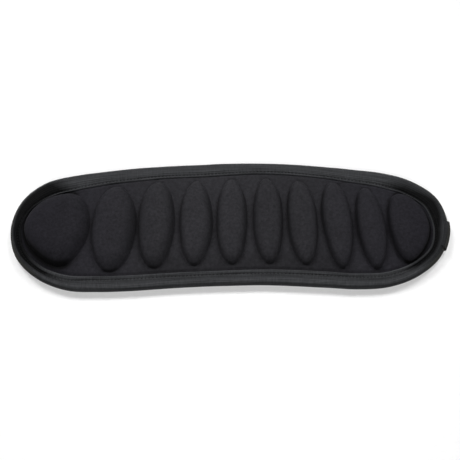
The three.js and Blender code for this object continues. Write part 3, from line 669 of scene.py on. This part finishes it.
def build_cover():
    outer = along(np.array([EDGE[i] + NRM[i] * 5.0 for i in range(0, len(EDGE), 4)]), 560)
    holes = [c.P + c.out * FILLET for c in CELL]
    rings = []
    for d in (8.6, 9.2, 9.6, 10.0, 10.4, 10.9, 11.5, 12.2):
        rings.append(along(EDGE + NRM * (d + REACH - TAPE_IN)[:, None], int(LENGTH / 0.9)))
    pts, faces = filled(outer, holes, 1.15, rings)
    d = cover_inset(pts)
    z = cover_base(d) + ripple(pts[:, 0], pts[:, 1]) * smooth((d - 9.8) / 2)
    z -= 0.35 * np.exp(-(FOLD_D(pts) / 0.5) ** 2)
    verts = [np.column_stack([pts, z])]
    count = len(pts)
    allf = [tuple(f) for f in faces]
    base = len(outer)
    for c in CELL:
        hole_ids = np.arange(base, base + c.N)
        base += c.N
        foot_z = cover_base(cover_inset(c.P))
        hole_z = z[hole_ids]
        prev = hole_ids
        for f in FRACTIONS:
            q = c.ring(f)
            zz = FLAT_Z + (foot_z - FLAT_Z) * f**4 + c.h * c.rise(f)
            if f == 1.0:
                zz = hole_z - 0.08 - 0.47 * c.sharp
            rip = ripple(q[:, 0], q[:, 1]) * (0.6 + 0.4 * f)
            zz = zz + (rip if f < 1 else 0)
            ids = np.arange(count, count + c.N)
            count += c.N
            verts.append(np.column_stack([q, zz]))
            for k in range(c.N):
                k2 = (k + 1) % c.N
                allf.append((prev[k], prev[k2], ids[k2], ids[k]))
            prev = ids
        verts.append(np.array([[c.C[0], c.C[1], FLAT_Z + c.h + ripple(c.C[0], c.C[1]) * 0.6]]))
        for k in range(c.N):
            allf.append((prev[k], prev[(k + 1) % c.N], count))
        count += 1
    V = np.vstack(verts)
    ob = mesh_object("padded_cover", V, allf, MAT["cover"])
    # painted shade: how closed in each point is between two neighbouring cells; the cloth's colour is darkened down in
    # the valleys, where shade falls
    near = np.full((len(V), len(CELL)), 60.0)
    sharp = np.zeros((len(V), len(CELL)))
    ground = np.ones(len(V))
    for c in CELL:
        tree = KDTree(c.N)
        for i, q in enumerate(c.P):
            tree.insert((q[0], q[1], 0), i)
        tree.balance()
        box = (np.abs(V[:, 0] - c.C[0]) < c.b + 16)
        within = inside(c.P, V[:, :2])
        ground[within] = 0
        for i in np.nonzero(box)[0]:
            _, j, gap = tree.find((V[i, 0], V[i, 1], 0))
            near[i, c.k] = gap * (0.6 if within[i] else 1.0)
            sharp[i, c.k] = c.sharp[j]
    painted_foot_shade = np.zeros(len(V))
    for c in (CELL[0], CELL[-1]):
        # the two end cells are crowded against the binding: a black band of painted shade runs round their feet on that
        # side, where the groove lies in shadow, and on the first cell a wide one under its low end
        toward = -np.array([NRM[_tree.find((p[0], p[1], 0))[1]] for p in c.P])
        facing = smooth((np.sum(toward * c.out, axis=1) - 0.2) / 0.5) * smooth((20.0 - inset_of(c.P)) / 4.0)
        if c.k:
            facing = np.maximum(facing, 0.5 * smooth((-c.out[:, 0] - c.out[:, 1]) / 0.5))
        low = smooth((-c.out[:, 1] - 0.25) / 0.6) * smooth((1.15 - c.out[:, 0]) / 0.9) if c.k == 0 else np.zeros(c.N)
        for i in np.nonzero(np.abs(V[:, 0] - c.C[0]) < c.b + 6)[0]:
            gap = np.linalg.norm(c.P - V[i, :2], axis=1)
            m = gap.argmin()
            inner = near[i, c.k] < 0.61 * gap[m]
            reach = (0.2 + 1.9 * low[m]) if inner else (1.6 if c.k == 0 else 1.2)
            painted_foot_shade[i] = max(facing[m], low[m]) * math.exp(-max(0.0, gap[m] - reach) / ((0.35 if inner else 0.5) + 0.9 * low[m]))
    # painted shade: a small dark crescent painted under the near end of each oval
    painted_tip_shade = np.zeros(len(V))
    for c, amount in zip(CELL[1:-1], TIP_SHADE_AMOUNT):
        tip = amount * smooth((-c.out[:, 1] - 0.70) / 0.22)
        for i in np.nonzero((np.abs(V[:, 0] - c.C[0]) < c.b + 3) & (V[:, 1] < c.C[1] - 12))[0]:
            gap = np.linalg.norm(c.P - V[i, :2], axis=1)
            m = gap.argmin()
            if gap[m] < 4:
                painted_tip_shade[i] = max(painted_tip_shade[i], tip[m] * math.exp(-max(0.0, gap[m] - 0.5) / 0.6))
    first = near.argmin(axis=1)
    sharp = sharp[np.arange(len(V)), first]
    near.sort(axis=1)
    # painted shade: darkest where two cells stand close, and along the crisp part of each foot
    valley = np.exp(-np.clip(near[:, 0] + near[:, 1] - 1.5, 0, None) / 3.6) + 0.5 * sharp * np.exp(-near[:, 0] / 0.8)
    fold = FOLD_D(V)
    # painted shade also runs along the little crease by the eighth cell
    painted_shade = np.maximum(0.8 * np.clip(valley, 0, 1), 1.5 * painted_foot_shade) + 0.7 * np.exp(-(fold / 0.6) ** 2)
    # painted shade: the flat strip under the near ends of the middle cells is painted a little darker too
    strip = ground * smooth((-20 - V[:, 1]) / 8) * smooth((V[:, 0] + 66) / 14) * smooth((92 - V[:, 0]) / 24)
    painted_shade = np.maximum(painted_shade, painted_tip_shade)
    painted_shade += 0.36 * strip * (1 - np.clip(painted_shade, 0, 1))
    attr = ob.data.attributes.new("painted_shade", "FLOAT", "POINT")
    attr.data.foreach_set("value", np.clip(painted_shade, 0, 1.5).astype(np.float32))
    return ob


cover = build_cover()
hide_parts("top_cover")
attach(cover, "pad")


# ------------------------------------------------------------------ foam: cell cushions and base
def build_cushion(c):
    verts, faces, count, prev = [], [], 0, None
    shrink, top = 1.3, FLAT_Z + c.h - 1.3
    levels = [(1.0, 9.0), (1.0, FLAT_Z)] + [(f, None) for f in (0.985, 0.95, 0.9, 0.83, 0.74, 0.62, 0.48, 0.32, 0.15)]
    for f, z in levels:
        q = c.ring(f, -shrink)
        zz = np.full(c.N, z) if z is not None else FLAT_Z + (top - FLAT_Z) * c.rise(f) + 0.06 * noise2(q[:, 0], q[:, 1], 5, 31)
        ids = np.arange(count, count + c.N)
        count += c.N
        verts.append(np.column_stack([q, zz]))
        if prev is not None:
            for k in range(c.N):
                faces.append((prev[k], prev[(k + 1) % c.N], ids[(k + 1) % c.N], ids[k]))
        prev = ids
    verts.append(np.array([[c.C[0], c.C[1], top], [c.C[0], c.C[1], 9.0]]))
    for k in range(c.N):
        faces.append((prev[k], prev[(k + 1) % c.N], count))
        faces.append(((k + 1) % c.N, k, count + 1))
    return mesh_object("cell_foam_%02d" % (c.k + 1), np.vstack(verts), faces, MAT["cushion"])


for c in CELL:
    ob = build_cushion(c)
    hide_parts("cell_cushion_%02d" % (c.k + 1))
    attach(ob, "pad")


def slab(name, start, pitch, top, bottom, material, detail=0.0, seed=5):
    """A closed sheet between two heights, from start mm inside the edge."""
    outer = along(EDGE + NRM * start, 420)
    rings = [along(EDGE + NRM * d, int(LENGTH / 1.6)) for d in (4.2, 5.6, 7.0, 8.4, 9.8, 11.2)]
    pts, faces = filled(outer, [], pitch, rings, seed)
    d = inset_of(pts)
    wob = detail * (noise2(pts[:, 0], pts[:, 1], 14, seed) + 0.5 * noise2(pts[:, 0], pts[:, 1], 5, seed + 1)) * smooth((d - start) / 3)
    zt, zb = top(d) + wob * 0.5, bottom(d) + wob
    n, m = len(pts), len(outer)
    V = np.vstack([np.column_stack([pts, zt]), np.column_stack([pts, zb])])
    F = [tuple(f) for f in faces] + [(a + n, c_ + n, b + n) for a, b, c_ in faces]
    F += [(k + n, (k + 1) % m + n, (k + 1) % m, k) for k in range(m)]
    return mesh_object(name, V, F, material)


foam = slab("foam_sheet", 2.6, 3.2, lambda d: np.minimum(cover_base(d - 4.5 * smooth((d - 3.0) / 5.0)) - 1.35, 8.7), lambda d: 2.4 + 2.9 * back(d), MAT["foam"])
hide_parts("base_foam")
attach(foam, "pad")

lining = slab("lining_cloth", 2.6, 1.6, lambda d: lining_z(d) + 0.8, lining_z, MAT["lining"], 0.05, 8)
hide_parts("back_lining")
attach(lining, "pad")


# ------------------------------------------------------------------ edge binding
SECTION = [  # outer face of the tape, from its inner edge on the cell side, round the rim, to its edge on the back: (in from the edge, z)
    (9.55, 8.75), (9.78, 9.15), (9.74, 9.52), (9.45, 9.80), (9.05, 9.84), (8.70, 9.62), (8.42, 9.32), (8.10, 9.16), (7.78, 9.30), (7.40, 9.52), (6.9, 9.58), (6.2, 9.44),
    (5.3, 9.14), (4.1, 8.60), (2.9, 7.86), (1.8, 6.95), (0.85, 5.85), (0.22, 4.7), (0.0, 3.6), (0.18, 2.5), (0.75, 1.35),
    (1.7, 0.35), (2.7, 0.03), (3.9, 0.05), (5.2, 0.55), (6.4, 1.1), (7.1, 1.55), (7.6, 1.85), (8.1, 1.85), (8.7, 2.05), (9.25, 2.5), (9.52, 3.0), (9.5, 3.65)]
INNER = [(8.0, 3.0), (6.0, 1.9), (3.0, 1.15), (1.3, 2.2), (1.0, 3.65), (1.3, 5.2), (2.4, 6.25), (6.0, 7.75), (8.4, 8.45)]
FACE = open_spline(SECTION, 0.42)


def folded(D, Z, lip, reach):
    """Distances in from the edge, on the cell side, drawn out so that the seam and the inner edge come where they are sewn."""
    seam = reach - lip
    out = np.where(D < SEAM_TOP, 3.0 + (D - 3.0) * (seam - 3.0) / (SEAM_TOP - 3.0), seam + (D - SEAM_TOP) * lip / (TAPE_IN - SEAM_TOP))
    return np.where((D > 3.0) & (Z > 4.5), out, D)


def sweep_tape(name, s0, s1, n, closed, lift=0.0, skin=0.0):
    """The tape's section carried along the edge from s0 to s1. lift moves the outer face out; skin above 0 makes a thin shell of that thickness."""
    s = np.linspace(s0, s1, n, endpoint=not closed)
    P, N = edge_at(s)
    face = FACE
    T = np.gradient(face, axis=0)
    T /= np.linalg.norm(T, axis=1)[:, None]
    outn = np.stack([-T[:, 1], T[:, 0]], 1)          # (d, z) normal of the face
    mid = face[len(face) // 2]
    if outn[len(face) // 2] @ np.array([-1.0, 0.0]) < 0:
        outn = -outn
    across = np.concatenate([[0], np.cumsum(np.linalg.norm(np.diff(face, axis=0), axis=1))])
    m = len(face)
    S, D = s[:, None], face[None, :, 0]
    Z = np.repeat(face[None, :, 1], n, 0)
    D = np.repeat(D, n, 0)
    R, W = reach_at(s)[:, None], lip_at(s)[:, None]
    D = folded(D, Z, W, R)
    A = across[None, :]
    amount = np.zeros((n, m))
    top = (np.arange(m) < m * 0.5)[None, :]
    phase = 2 * math.pi * S * round(LENGTH / PITCH) / LENGTH
    # the seam pulls the tape in at each needle hole, and it puckers a little in between
    seam_t = np.exp(-((face[None, :, 0] - SEAM_TOP) / 0.55) ** 2) * top
    amount -= seam_t * (0.04 + 0.36 * (0.5 - 0.5 * np.cos(phase)))
    pucker = np.exp(-((face[None, :, 0] - (SEAM_TOP - 1.3)) / 0.9) ** 2) * top
    amount += pucker * 0.07 * np.cos(phase + 0.6)
    lip = np.exp(-((face[None, :, 0] - (SEAM_TOP + 0.95)) / 0.5) ** 2) * top
    amount += lip * (0.05 * np.cos(phase - 0.4) + 0.08 * noise2(S, A * 0, 7, 41))
    seam_b = np.exp(-((face[None, :, 0] - SEAM_BACK) / 0.6) ** 2) * ~top
    amount -= seam_b * (0.08 + 0.1 * (0.5 + 0.5 * np.cos(phase)))
    # slow unevenness along the length, and soft ridges that run with the fold
    body = np.exp(-((A - across[-1] * 0.33) / 5.5) ** 2)
    amount += body * (0.16 * noise2(S, A, 23, 42) + 0.07 * noise2(S, A * 3, 9, 43))
    amount += 0.07 * noise2(S * 0.12, A, 1.5, 44) * body
    amount += 0.035 * np.cos(2 * math.pi * A / 0.95) * np.clip(body * 1.4, 0, 1)
    bottom = np.exp(-((Z - 0.0) / 0.5) ** 2)
    raised = lift * smooth((4.6 - face[None, :, 0]) / 3.2) * smooth((Z - 0.4) / 1.8) - 0.08 * smooth((face[None, :, 0] - 3.2) / 1.2) if lift else 0.0
    amount = amount * (1 - 0.9 * bottom) + raised
    D2, Z2 = D + outn[None, :, 0] * amount, Z + outn[None, :, 1] * amount
    Z2 = np.maximum(Z2, 0.0 if skin == 0 else 0.02)
    if skin > 0:
        D3, Z3 = D2 - outn[None, :, 0] * skin, np.maximum(Z2 - outn[None, :, 1] * skin, 0.01)
        D2, Z2 = np.concatenate([D2, D3[:, ::-1]], 1), np.concatenate([Z2, Z3[:, ::-1]], 1)
        uvv = np.concatenate([across, across[::-1]])
    else:
        inner = np.array(INNER)
        Zi = np.repeat(inner[None, :, 1], n, 0)
        D2 = np.concatenate([D2, folded(np.repeat(inner[None, :, 0], n, 0), Zi, W, R)], 1)
        Z2 = np.concatenate([Z2, Zi], 1)
        uvv = np.concatenate([across, np.linspace(across[-1], across[-1] + 20, len(inner))])
    cols = D2.shape[1]
    X = P[:, None, 0] + N[:, None, 0] * D2
    Y = P[:, None, 1] + N[:, None, 1] * D2
    V = np.stack([X, Y, Z2], -1).reshape(-1, 3)
    F = [tuple(f) for f in grid_faces(n, cols, close_rows=closed, close_cols=True)]
    if not closed:
        F.append(tuple(range(cols)))
        F.append(tuple((n - 1) * cols + k for k in range(cols))[::-1])
    uv = np.stack([np.repeat(s[:, None], cols, 1), np.repeat(uvv[None], n, 0)], -1).reshape(-1, 2)
    return mesh_object(name, V, F, MAT["tape"], uv)


binding = sweep_tape("edge_tape", 0, LENGTH, int(round(LENGTH / PITCH)) * 4, True)
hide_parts("edge_binding")
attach(binding, "pad")

PITCH_FIT = LENGTH / int(round(LENGTH / PITCH))
s_a, s_b = s_near(LAP_FROM), s_near(LAP_TO)
if s_b < s_a:
    s_b += LENGTH
lap = sweep_tape("edge_tape_lap", s_a, s_b, int((s_b - s_a) / 0.5), False, lift=LAP_T, skin=0.8)
bev = lap.modifiers.new("soft edge", "BEVEL")
bev.width, bev.segments, bev.limit_method, bev.angle_limit = 0.0002, 2, "ANGLE", math.radians(60)
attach(lap, "pad")


# ------------------------------------------------------------------ seams
def stitch_mesh(name, centres, directions, normals, length, radius, dip=0.28, lean=0.0, seed=1):
    """One short, slightly humped length of thread for each stitch."""
    rng = np.random.default_rng(seed)
    R, K = 8, 9
    V, F, UV = [], [], []
    u = np.linspace(-1, 1, K)
    thick = np.sqrt(np.clip(1 - np.abs(u) ** 5, 0.02, 1))
    ang = np.linspace(0, 2 * math.pi, R, endpoint=False)
    for q, (c, t, nn) in enumerate(zip(centres, directions, normals)):
        b = np.cross(nn, t)
        b /= np.linalg.norm(b)
        tt = t + b * (lean + rng.uniform(-0.03, 0.03))
        tt /= np.linalg.norm(tt)
        b = np.cross(nn, tt)
        L = length * (1 + rng.uniform(-0.05, 0.05))
        base = len(V)
        for k in range(K):
            p = c + tt * (u[k] * L / 2) - nn * (dip * u[k] ** 4)
            for a in ang:
                V.append(p + (b * math.cos(a) + nn * math.sin(a)) * radius * thick[k])
                UV.append((u[k] * L / 2 + q * 3.1, a / (2 * math.pi)))
        for k in range(K - 1):
            for r in range(R):
                r2 = (r + 1) % R
                F.append((base + k * R + r, base + k * R + r2, base + (k + 1) * R + r2, base + (k + 1) * R + r))
        F.append(tuple(base + r for r in range(R))[::-1])
        F.append(tuple(base + (K - 1) * R + r for r in range(R)))
    return mesh_object(name, np.array(V), F, MAT["thread"], UV)


def ring_stitches(name, d, z, up, lean, seed):
    n = int(round(LENGTH / PITCH))
    s = (np.arange(n) + 0.5) * LENGTH / n
    P, N = edge_at(s)
    T = np.stack([N[:, 1], -N[:, 0]], 1)
    zz = np.full(n, z)
    dd = np.full(n, d)
    if up > 0:
        dd = reach_at(s) - lip_at(s)
    C = np.column_stack([P + N * dd[:, None], zz])
    T3 = np.column_stack([T, np.zeros(n)])
    Nz = np.tile([0, 0, float(up)], (n, 1))
    return stitch_mesh(name, C, T3, Nz, PITCH * (0.66 if up > 0 else 0.86), 0.2, lean=lean, seed=seed)


top_seam = ring_stitches("binding_seam_top", SEAM_TOP, 9.06, 1, 0.06, 21)
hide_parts("binding_needle_thread")
back_seam = ring_stitches("binding_seam_back", SEAM_BACK, 1.72, -1, -0.06, 22)
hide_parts("binding_bobbin_thread")
for ob in (top_seam, back_seam):
    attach(ob, "pad")


# ------------------------------------------------------------------ strap keepers
def ribbon(name, path, width, thick, x0, material, sections=41, edge_r=0.35):
    """A woven strap: path is its centreline in (y, z); it runs width across X, with rounded selvedges."""
    path = np.array(path, float)
    T = np.gradient(path, axis=0)
    T /= np.linalg.norm(T, axis=1)[:, None]
    N = np.stack([-T[:, 1], T[:, 0]], 1)
    run = np.concatenate([[0], np.cumsum(np.linalg.norm(np.diff(path, axis=0), axis=1))])
    xs = np.linspace(-width / 2, width / 2, sections)
    half = thick / 2 * np.clip(np.sqrt(np.clip(1 - ((np.abs(xs) - (width / 2 - edge_r)) / edge_r).clip(0, 1) ** 2, 0.05, 1)), 0, 1)
    xx = np.concatenate([xs, xs[::-1]])
    hh = np.concatenate([half, -half[::-1]])
    cols, n = len(xx), len(path)
    wob = 0.05 * noise2(run[:, None] + x0, xx[None] * 1.0, 9, 51)
    V = np.empty((n, cols, 3))
    V[..., 0] = x0 + xx[None]
    V[..., 1] = path[:, None, 0] + N[:, None, 0] * hh[None]
    V[..., 2] = path[:, None, 1] + N[:, None, 1] * (hh[None]) + wob * 0.6
    F = [tuple(f) for f in grid_faces(n, cols, close_cols=True)]
    F.append(tuple(range(cols))[::-1])
    F.append(tuple((n - 1) * cols + k for k in range(cols)))
    uv = np.stack([np.repeat(xx[None], n, 0), np.repeat(run[:, None], cols, 1)], -1).reshape(-1, 2)
    ob = mesh_object(name, V.reshape(-1, 3), F, material, uv)
    return ob


def patch_piece(name, x0, w, y0, y1, z0, z1, r, material, seed):
    """A flat patch with rounded corners and a slightly uneven face."""
    cx, cy = w / 2 - r, (y1 - y0) / 2 - r
    ym = (y0 + y1) / 2
    loop = []
    for sx, sy, a0 in ((1, 1, 0), (-1, 1, 90), (-1, -1, 180), (1, -1, 270)):
        for a in np.radians(np.linspace(a0, a0 + 90, 7)):
            loop.append((x0 + sx * cx + r * math.cos(a), ym + sy * cy + r * math.sin(a)))
    loop = along(np.array(loop), 150)
    c = np.array([x0, ym])
    small = c + (loop - c) * (1 - 0.25 / np.linalg.norm(loop - c, axis=1))[:, None]
    pts, faces = filled(small, [], 1.0, seed=seed)
    m, n = len(small), len(pts)
    bump_ = 0.05 * noise2(pts[:, 0], pts[:, 1], 3.0, seed)
    V = np.vstack([np.column_stack([pts, z1 + bump_ * 0.5 - 0.03]), np.column_stack([pts, z0 + bump_ * 0.5 + 0.03]),
                   np.column_stack([loop, np.full(m, z1 - 0.2)]), np.column_stack([loop, np.full(m, z0 + 0.2)])])
    F = [tuple(f) for f in faces] + [(a + n, c_ + n, b + n) for a, b, c_ in faces]
    A, B = 2 * n, 2 * n + m
    for k in range(m):
        k2 = (k + 1) % m
        F += [(k, A + k, A + k2, k2)[::-1][::-1], (A + k, B + k, B + k2, A + k2), (B + k, n + k, n + k2, B + k2)]
    return mesh_object(name, V, F, material)


def box_seam(name, x0, w, y0, y1, z, up, seed, pitch=2.6):
    """A rectangle of lockstitches."""
    corners = [(x0 - w / 2, y0), (x0 + w / 2, y0), (x0 + w / 2, y1), (x0 - w / 2, y1)]
    C, T = [], []
    for a, b in zip(corners, corners[1:] + corners[:1]):
        a, b = np.array(a), np.array(b)
        L = np.linalg.norm(b - a)
        n = max(1, int(round(L / pitch)))
        for k in range(n):
            p = a + (b - a) * (k + 0.5) / n
            C.append((p[0], p[1], z))
            T.append((*((b - a) / L), 0))
    n = len(C)
    return stitch_mesh(name, np.array(C), np.array(T, float), np.tile([0, 0, float(up)], (n, 1)), pitch * 0.84, 0.17, dip=0.2, lean=0.05, seed=seed)


for side, xk, seed in (("left", -KEEPER_X, 61), ("right", KEEPER_X, 71)):
    x0, sy = xk + SHIFT[0], SHIFT[1]
    body = side + "_keeper"
    line = [(25.2, 3.34), (27.0, 3.38), (30.0, 3.38), (31.9, 3.3), (32.75, 2.85), (31.9, 2.36), (30.0, 2.24), (27.4, 2.22), (25.6, 2.1), (24.3, 1.75),
            (22.8, 1.45), (20.5, 1.40), (15.0, 1.42), (8.0, 1.40), (0.0, 1.40), (-8.0, 1.40), (-16.0, 1.42), (-24.0, 1.40), (-30.0, 1.40), (-35.9, 1.40)]
    path = open_spline([(y + sy, z) for y, z in line], 0.7)
    strap = ribbon(side + "_keeper_webbing", path, WEB_W, 1.0, x0, MAT["webbing"])
    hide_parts(side + "_keeper_root", side + "_keeper_tab")
    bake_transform(strap)
    loop_ = patch_piece(side + "_loop_tape", x0, 38, -34.2 + sy, -21.2 + sy, 3.2, 3.9, 1.2, MAT["loop"], seed)
    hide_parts(side + "_loop_patch")
    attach(loop_, "pad")
    hook_ = patch_piece(side + "_hook_tape", x0, 33, -33.6 + sy, -22.6 + sy, 2.2, 2.9, 1.0, MAT["hook"], seed + 1)
    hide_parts(side + "_hook_patch")
    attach(hook_, body)
    for label, w, ya, yb, z, owner, off in (("root", WEB_W - 5, 26.0, 31.8, 1.72, "pad", 2), ("hook", 31.4, -32.8, -23.4, 0.88, body, 3), ("loop", 36.0, -33.7, -21.7, 3.14, "pad", 4)):
        seam = box_seam(f"{side}_{label}_seam", x0, w, ya + sy, yb + sy, z, -1, seed + off)
        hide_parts(f"{side}_{label}_stitch")
        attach(seam, owner)


# ------------------------------------------------------------------ floor, light, camera
def floor_material():
    n = Nodes("floor_white")
    vec, _ = n.coords()
    grain = n.noise(vec, 300, 3)
    col = n.ramp(grain, [(0.3, (0.86, 0.86, 0.86)), (0.7, (0.9, 0.9, 0.9))])
    col = n.scale_color(col, n.math("MULTIPLY_ADD", grain, 0.02, 0.72))
    return n.finish(col, None, None, Roughness=0.8, Specular_IOR_Level=0.2, Emission_Color=(1, 1, 1, 1), Emission_Strength=0.28)


fl = bpy.data.meshes.new("floor")
fl.from_pydata([(-9, -9, 0), (9, -9, 0), (9, 9, 0), (-9, 9, 0)], [], [(0, 1, 2, 3)])
fl.materials.append(floor_material())
floor = bpy.data.objects.new("floor", fl)
bpy.context.scene.collection.objects.link(floor)


def area_light(name, loc, target, size_x, size_y, power, color=(1, 1, 1), spread=180):
    data = bpy.data.lights.new(name, "AREA")
    data.shape, data.size, data.size_y, data.energy, data.color = "RECTANGLE", size_x, size_y, power, color
    data.spread = math.radians(spread)
    ob = bpy.data.objects.new(name, data)
    ob.location = loc
    ob.rotation_euler = (Vector(target) - Vector(loc)).to_track_quat("-Z", "Y").to_euler()
    bpy.context.scene.collection.objects.link(ob)
    return ob


area_light("softbox_left", (-0.45, 0.70, 0.85), (-0.08, 0, 0), 0.5, 0.4, 1.45, spread=60)
area_light("softbox_right", (0.45, 0.70, 0.85), (0.08, 0, 0), 0.5, 0.4, 1.15, spread=60)
area_light("softbox_front", (0.0, -0.8, 0.75), (0, 0, 0), 0.5, 0.4, 0.8, spread=60)
world = bpy.data.worlds.new("studio")
bpy.context.scene.world = world
world.use_nodes = True
world.node_tree.nodes["Background"].inputs[0].default_value = (1, 1, 1, 1)
world.node_tree.nodes["Background"].inputs[1].default_value = 0.015

ELEV, FOCAL_PX, SCALE, PHI = math.radians(68.0), 729.0, 0.708, 0.0113
DIST = FOCAL_PX * SCALE
turn = np.array([[math.cos(PHI), math.sin(PHI)], [-math.sin(PHI), math.cos(PHI)]])
cx, cy = turn @ np.array([0.0, -DIST * math.cos(ELEV)]) + SHIFT
cam_data = bpy.data.cameras.new("photo_view")
cam_data.sensor_fit, cam_data.sensor_width = "HORIZONTAL", 36.0
cam_data.lens = FOCAL_PX * 36.0 / 460.0
cam_data.clip_start, cam_data.clip_end = 0.01, 20
cam = bpy.data.objects.new("photo_view", cam_data)
cam.location = (cx * MM, cy * MM, DIST * math.sin(ELEV) * MM)
cam.rotation_euler = (math.pi / 2 - ELEV, 0, -PHI)
bpy.context.scene.collection.objects.link(cam)
bpy.context.scene.camera = cam
bpy.context.scene.view_settings.view_transform = "Standard"
